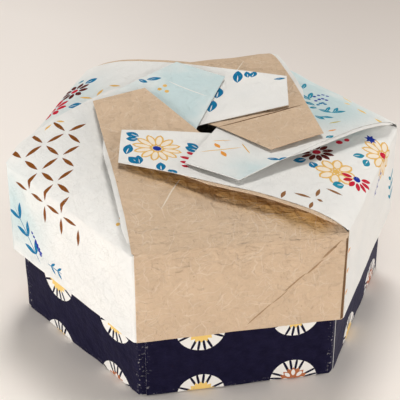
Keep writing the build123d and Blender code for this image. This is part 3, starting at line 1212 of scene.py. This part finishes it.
def fibrous_paper(name, tint, pale, painted_shade=None, shown_print=1.0):
    """Paper with pale fibres. With a colour of painted shade, the washes take it as painted shade, and the
    top fold is wrinkled.
    """
    material, tree, shader, flat = new_paper(name, roughness=0.8)
    hair = summed(tree, [fibres(tree, flat, turn, seed, *TAN_FIBRE) for turn, seed in TAN_LAY])
    shade = [CLOUD_SHADE * part for part in tint[:3]] + [1]
    ground = mixed(tree, ramp(tree, crumple(tree, flat, 0.07), 0.3, 0.7), tint, shade)
    heights = [
        (facets(tree, flat, 0.22), 1.3), (crumple(tree, flat, 0.13), 2.4), (crumple(tree, flat, 0.6), 0.40),
        (hair, 0.05),
    ]
    if painted_shade:
        # Painted shade: where the front pocket's spots lie, the tan turns darker and browner.
        ground = mixed(tree, attribute(tree, "wash_and_painted_shade")["Fac"], ground, painted_shade)
        heights.append((fold_wrinkles(tree, flat), 0.85))
    haired = mixed(tree, ramp(tree, hair, 0.0, 2.0), ground, pale)
    specks = ramp(tree, noise_field(tree, flat, 0.75)[0], 0.75, 0.78)
    flecked = mixed(tree, specks, haired, DARK_FLECK)
    ink = attribute(tree, "ink")
    colour = mixed(tree, product(tree, ink["Alpha"], shown_print), flecked, ink["Color"])
    tree.links.new(colour, shader.inputs["Base Color"])
    relief(tree, shader, heights, distance=0.9 * MM)
    return material


tan_fibrous = fibrous_paper("tan_fibrous_paper", TAN, TAN_PALE, TAN_POCKET_PAINTED_SHADE)
white_reverse = fibrous_paper("white_reverse", WHITE_BACK, WHITE_BACK_PALE, None, SHOW_THROUGH)
navy_reverse = fibrous_paper("navy_reverse", NAVY_BACK, NAVY_BACK_PALE, None, SHOW_THROUGH)
print([paper.name for paper in (tan_fibrous, white_reverse, navy_reverse)])

# %% [markdown]
# ## Navy paper, and which paper has which reverse
# The navy ink is dark and a little soft, so it has hardly any gloss and a faint bluish sheen. Where
# folds and edges are rubbed, the white of the paper shows in specks. Here the wash says where that may
# be.

# %% Navy paper
NAVY = (0.0045, 0.0035, 0.019, 1)
NAVY_LIGHT = (0.010, 0.0085, 0.033, 1)
RUBBED = (0.30, 0.29, 0.30, 1)
SHEEN = {"Sheen Weight": 0.10, "Sheen Roughness": 0.4, "Sheen Tint": (0.75, 0.72, 1.0, 1)}
NAVY_GLOSS = 0.08


def navy_paper():
    material, tree, shader, flat = new_paper("navy_printed_paper", roughness=0.7, gloss=NAVY_GLOSS)
    for socket, value in SHEEN.items():
        shader.inputs[socket].default_value = value
    ground = mixed(tree, ramp(tree, crumple(tree, flat, 0.25), 0.35, 0.75), NAVY, NAVY_LIGHT)
    ink = attribute(tree, "ink")
    printed = mixed(tree, ink["Alpha"], ground, ink["Color"])
    specks = ramp(tree, noise_field(tree, flat, 0.9)[0], 0.60, 0.68)
    rubbed = product(tree, attribute(tree, "wash_and_painted_shade")["Fac"], specks)
    tree.links.new(mixed(tree, rubbed, printed, RUBBED), shader.inputs["Base Color"])
    relief(tree, shader, [(crumple(tree, flat, 0.2), 1.0)], distance=0.5 * MM)
    return material


materials = {
    "printed_paper": (white_printed, white_reverse),
    "tan_paper": (tan_fibrous, tan_fibrous),
    "navy_paper": (navy_paper(), navy_reverse),
}
print("papers", [pair[0].name for pair in materials.values()])

# %% [markdown]
# ## Thickness and small unevenness
# Hand-folded paper is never quite flat. One gentle unevenness is laid over the whole box, so that sheets
# that lie on each other still do. Solidify then gives each sheet its thickness, inwards from the face
# that shows.

# %% Finish a sheet
SHOWN_THICKNESS = 0.22 * MM
SMOOTH_BELOW = math.radians(40)
UNEVEN = {14 * MM: 0.40 * MM, 5 * MM: 0.10 * MM}
NOISE_STARTS = [Vector((0.0, 0.0, 0.0)), Vector((31.4, 5.2, 17.7)), Vector((-12.6, 44.1, 8.3))]


def unevenness(places):
    """A small shift of every point, the same for all sheets at one place: broad waves and finer ones.
    The plain noise is used once for each direction, because the vector noise differs from run to run."""
    shifts = np.zeros_like(places)
    for length, amount in UNEVEN.items():
        for direction, start in enumerate(NOISE_STARTS):
            waves = [amount * noise.noise(Vector(place) / length + start) for place in places]
            shifts[:, direction] += waves
    return shifts


def finish_sheet(sheet, slot, body, node):
    """Unevenness, thickness, smooth shading, materials, and its place in the frame."""
    for material in materials[slot]:
        sheet.data.materials.append(material)
    shift_points(sheet, unevenness(flat_places(sheet)))
    pick(sheet)
    solid = sheet.modifiers.new("thickness", "SOLIDIFY")
    solid.thickness = SHOWN_THICKNESS
    solid.offset = -1
    solid.material_offset = 1
    solid.material_offset_rim = 1
    bpy.ops.object.modifier_apply(modifier=solid.name)
    bpy.ops.object.shade_smooth_by_angle(angle=SMOOTH_BELOW)
    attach(sheet, body)
    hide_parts(node)
    print(sheet.name, len(sheet.data.polygons), "faces")


print("paper", SHOWN_THICKNESS / MM, "mm thick")

# %% [markdown]
# ## The pleat's lip
# Each sheet goes on past its valley fold and turns back as a narrow pleat. Its edge shows as a thin line
# under the long edge of the next blade. It is cut in the next blade's flat plan, bent like that blade,
# and laid one layer under it.

# %% Lip
LAYER = 0.28 * MM
LIP_START = 4.0
LIP_LENGTH = 66.0
LIP_SHOWN = 1.8
LIP_FREE = 50.0
LIP_TUCK = 3
LIP_CREASE = 90


def lip_outline():
    """The lip in the flat plan of the blade that lies over it."""
    slope = TIP_LEAN / TIP_REACH
    free = [
        (-HALF - LIP_SHOWN / 2, LIP_START),
        (-HALF - LIP_SHOWN - slope * 2 * LIP_START, 2 * LIP_START),
        (-HALF - LIP_SHOWN - slope * LIP_FREE, LIP_FREE),
        (-HALF, LIP_LENGTH),
    ]
    ends = (LIP_LENGTH, LIP_START)
    folded = [(-HALF + LIP_TUCK + distance / 2, distance * math.cos(TURN / 2)) for distance in ends]
    return [(along, blade_length(inward)) for along, inward in free + folded][::-1]


def make_lip(name):
    lip = cut_sheet(name, lip_outline(), crossing(LIP_CREASE, BLADE_LINES), [])
    flat = flat_places(lip)
    dome(lip, flat)
    fold(lip, flat, 1, LID_WALL, 1, "X", SLOPES[0] - math.pi / 2)
    stand_up(lip, (0, -LID_REACH, LID_RIM - LAYER))
    lower = blade_twist(flat[:, 0], flat_places(lip)[:, 1] + LID_REACH)
    shift_points(lip, np.outer(lower, (0, 0, -1)))
    return lip


print("lip", LIP_LENGTH, "mm long, of which", LIP_SHOWN, "mm shows")

# %% [markdown]
# ## The lid's six sheets
# Four sheets are white and printed, two are tan. Each is cut, folded in the front place, turned to its
# own, joined with its lip, and finished. One loop makes them all, so that they weave alike.

# %% Lid sheets
for place, following in zip(PLACES, PLACES[1:] + PLACES[:1]):
    name = f"lid_sheet_{place}"
    shapes = PRINTS[place]()
    sheet = cut_sheet(name, lid_outline(), LID_CREASES, shapes, WASHES_AND_PAINTED_SHADE[place], lid_ridges(place))
    fold_lid_sheet(sheet)
    turn_to(sheet, place)
    lip = make_lip(f"lip_{place}")
    turn_to(lip, following)
    pick(sheet, lip)
    bpy.ops.object.join()
    paper = "tan_paper" if place in TAN_PLACES else "printed_paper"
    finish_sheet(sheet, paper, "lid", f"lid_unit_{place}")

# %% [markdown]
# ## The tray's print
# The navy sheets have a regular field of round flowers, which the lid's rim and the floor's edge cut
# across. A flower is a white disc cut by bare slits, round a heart with a pointed edge. Each sheet was
# cut from another part of the field, so its flowers are shifted.

# %% Tray print
FLOWER = 8.8
FLOWER_ACROSS = np.array((34.5, 1.4))
FLOWER_UP = np.array((0.3, 29.3))
FIRST_FLOWER = np.array((-13.6, -1.7))
SLIT_TURNS = (-0.44, -0.15, 0.15, 0.44)
SLIT_WIDTH = 0.95
SLIT_SHARES = (0.45, 1.05)
HEART_OUTER = 0.62
HEART_INNER = 0.49
HEART_RAYS = 16
RUST_PETALS = (0.2, 0.52)
COLUMNS = range(-1, 4)
ROWS = range(-2, 4)
SHIFTS = {
    "front": (0, 0), "front_right": (3, 1), "back_right": (11, -5), "back": (-8, 2), "back_left": (5, 3),
    "front_left": (0, -2.6),
}


def round_flower(centre, heart):
    """Three narrow petals on each axis and a broad one between them, round a heart."""
    shapes = [("white", disc(centre, FLOWER, 32))]
    for axis in full_turn(4, math.pi / 2):
        for turn in SLIT_TURNS:
            slit = [toward(centre, FLOWER * share, axis + turn) for share in SLIT_SHARES]
            shapes.append(("bare", spindle(*slit, SLIT_WIDTH, 0.15)))
    shapes.append((heart, star(centre, FLOWER * HEART_OUTER, FLOWER * HEART_INNER, HEART_RAYS)))
    if heart == "rust":
        inner, outer = [FLOWER * share for share in RUST_PETALS]
        shapes += petals(centre, inner, outer, 1.5, "white", full_turn(8))
    return shapes


def tray_print(shift):
    shapes = []
    for column in COLUMNS:
        for row in ROWS:
            centre = FIRST_FLOWER + shift + column * FLOWER_ACROSS + row * FLOWER_UP
            rust = column % 2 == 1 and row % 2 == 0
            shapes += round_flower(centre, "rust" if rust else "yellow")
    return shapes


print("tray print", len(tray_print(SHIFTS["front"])), "shapes")

# %% [markdown]
# ## The tray's sheets
# A tray sheet is taller than a lid sheet: a floor sector, the wall, and a hem turned down inside the
# rim, with a tab round the right corner. The six floor sectors meet at a small eyelet in the middle of
# the floor.

# %% Flat outline and folds of a tray sheet
TRAY_WALL = TRAY_TOP / MM
TRAY_HALF = TRAY_SIDE / MM / 2
TRAY_CORNER = TRAY_HALF - 0.4
TRAY_HEM = 20.0
TRAY_TAB_TOP = (69, 0.3)
TRAY_TAB_FOOT = (35, 0.6)
EYELET = 1.0
EYELET_HALF = 0.6
FLOOR_INSET = 1.5
TRAY_HEM_LINES = [TRAY_WALL + HEM_STEP * (number - 1) for number in range(4)]
FLOOR_LINES = [-0.1, 0.2]
TRAY_CORNER_LINES = three_lines(TRAY_CORNER, CORNER_BEND)
TRAY_CREASES = crossing(TRAY_HALF + 1, TRAY_HEM_LINES + FLOOR_LINES, TRAY_CORNER_LINES, TRAY_WALL)


def tray_outline():
    middle = TRAY_SIDE / MM * math.cos(TURN / 2)
    hem_edge = TRAY_WALL + TRAY_HEM
    left = BACK - TRAY_HALF
    right = TRAY_HALF - BACK
    return [
        (left, 0), (left, TRAY_WALL), (left, hem_edge), (right, hem_edge), (right, TRAY_WALL),
        (TRAY_CORNER, TRAY_WALL), (TRAY_CORNER + TRAY_TAB_TOP[0], TRAY_WALL - TRAY_TAB_TOP[1]),
        (TRAY_CORNER + TRAY_TAB_FOOT[0], TRAY_TAB_FOOT[1]), (TRAY_CORNER, TRAY_TAB_FOOT[1]),
        (TRAY_HALF - FLOOR_INSET, 0), (EYELET_HALF, EYELET - middle), (-EYELET_HALF, EYELET - middle),
    ][::-1]


def fold_tray_sheet(sheet):
    flat = flat_places(sheet)
    bend(sheet, flat, 1, TRAY_HEM_LINES, 1, "X", -math.pi)
    bend(sheet, flat, 0, TRAY_CORNER_LINES, 1, "Y", TURN)
    bend(sheet, flat, 1, FLOOR_LINES, -1, "X", math.pi / 2)
    stand_up(sheet, (0, -TRAY_REACH, 0))


print("tray outline", len(tray_outline()), "corners")

# %% [markdown]
# ## The tray's six sheets
# The same loop as for the lid makes them. The navy paper is rubbed along the floor's edge and at the
# upright edges, so soft spots set close together along those lines go into the wash.

# %% Tray sheets
FLOOR_EDGE = [((along, 0.0), 0.9) for along in np.arange(-34, 35, 1.2)]
UPRIGHTS = (BACK - TRAY_HALF, TRAY_CORNER)
UPRIGHT_EDGES = [((along, upward), 0.8) for along in UPRIGHTS for upward in np.arange(0, 64, 1.1)]
WORN = FLOOR_EDGE + UPRIGHT_EDGES
for place in PLACES:
    shapes = tray_print(SHIFTS[place])
    sheet = cut_sheet(f"tray_sheet_{place}", tray_outline(), TRAY_CREASES, shapes, WORN)
    fold_tray_sheet(sheet)
    turn_to(sheet, place)
    finish_sheet(sheet, "navy_paper", "tray", f"base_unit_{place}")

# %% [markdown]
# ## Floor
# The box stands on a pale floor, just under the lowest paper. Its colour holds painted light: it is lighter
# at the near left, against the box's shadow there, and slowly darker towards the far right, as painted
# shade. A ramp along that diagonal, on the floor's own coordinates, does this.

# %% Floor
FLOOR_SIZE = 8.0
FLOOR_DROP = 0.4 * MM
# Painted light near the front left, the plain colour in the middle, painted shade far to the right.
FLOOR_NEAR = (0.97, 0.915, 0.865, 1)
FLOOR_MIDDLE = (0.82, 0.77, 0.73, 1)
FLOOR_FAR = (0.54, 0.49, 0.455, 1)
FALL_OFF = (-0.13, 0.20, 0.44)
FLOOR_ROUGHNESS = 0.9
DIAGONAL = (1, 1, 0)

bpy.ops.object.select_all(action="DESELECT")
bpy.ops.mesh.primitive_grid_add(
    x_subdivisions=8, y_subdivisions=8, size=FLOOR_SIZE, location=(0, 0, -FLOOR_DROP)
)
floor = bpy.context.object
floor.name = "floor"
bpy.ops.object.transform_apply(location=True, rotation=True, scale=True)
floor_material = bpy.data.materials.new("pale_floor")
floor_material.use_nodes = True
tree = floor_material.node_tree
shader = tree.nodes["Principled BSDF"]
shader.inputs["Roughness"].default_value = FLOOR_ROUGHNESS
spot = put(tree, "TexCoord").outputs["Object"]
away = put(tree, "VectorMath", {0: spot, 1: DIAGONAL}, operation="DOT_PRODUCT").outputs["Value"]
# Painted light and shade: the floor's colour follows a ramp along the diagonal.
near = mixed(tree, ramp(tree, away, FALL_OFF[0], FALL_OFF[1]), FLOOR_NEAR, FLOOR_MIDDLE)
far = mixed(tree, ramp(tree, away, FALL_OFF[1], FALL_OFF[2]), near, FLOOR_FAR)
tree.links.new(far, shader.inputs["Base Color"])
floor.data.materials.append(floor_material)
print("floor", FLOOR_SIZE, "m wide")

# %% [markdown]
# ## Light
# The main lamp hangs above and a little behind, so that the blades throw their shadows towards the
# viewer. Three low lamps light the walls, from the front, the left and the right, and weak light comes
# from the whole room. They are kept low enough that the white paper doesn't burn out.

# %% Lamps and room
# Each lamp has a place, a size, a power and a colour.
LAMPS = {
    "top_lamp": ((0.15, 0.54, 1.38), 0.40, 11.2, (1.0, 0.97, 0.93)),
    "front_lamp": ((-0.45, -1.25, 0.30), 0.5, 9.4, (1.0, 0.97, 0.94)),
    "left_lamp": ((-1.0, 0.10, 0.25), 0.4, 3.5, (1.0, 0.98, 0.95)),
    "right_lamp": ((1.0, -0.10, 0.30), 0.4, 4.5, (1.0, 0.97, 0.94)),
}
AIM = Vector((0, 0, 0.05))
ROOM_COLOUR = (1.0, 0.97, 0.94, 1)
ROOM_STRENGTH = 0.22

for name, (place, size, power, warmth) in LAMPS.items():
    bpy.ops.object.light_add(type="AREA", location=place)
    lamp = bpy.context.object
    lamp.name = name
    lamp.data.size = size
    lamp.data.energy = power
    lamp.data.color = warmth
    lamp.visible_camera = False
    lamp.rotation_euler = (AIM - Vector(place)).to_track_quat("-Z", "Y").to_euler()

world = bpy.data.worlds.new("room")
world.use_nodes = True
world.node_tree.nodes["Background"].inputs["Color"].default_value = ROOM_COLOUR
world.node_tree.nodes["Background"].inputs["Strength"].default_value = ROOM_STRENGTH
bpy.context.scene.world = world
bpy.context.scene.view_settings.view_transform = "Standard"
print("lamps", list(LAMPS))
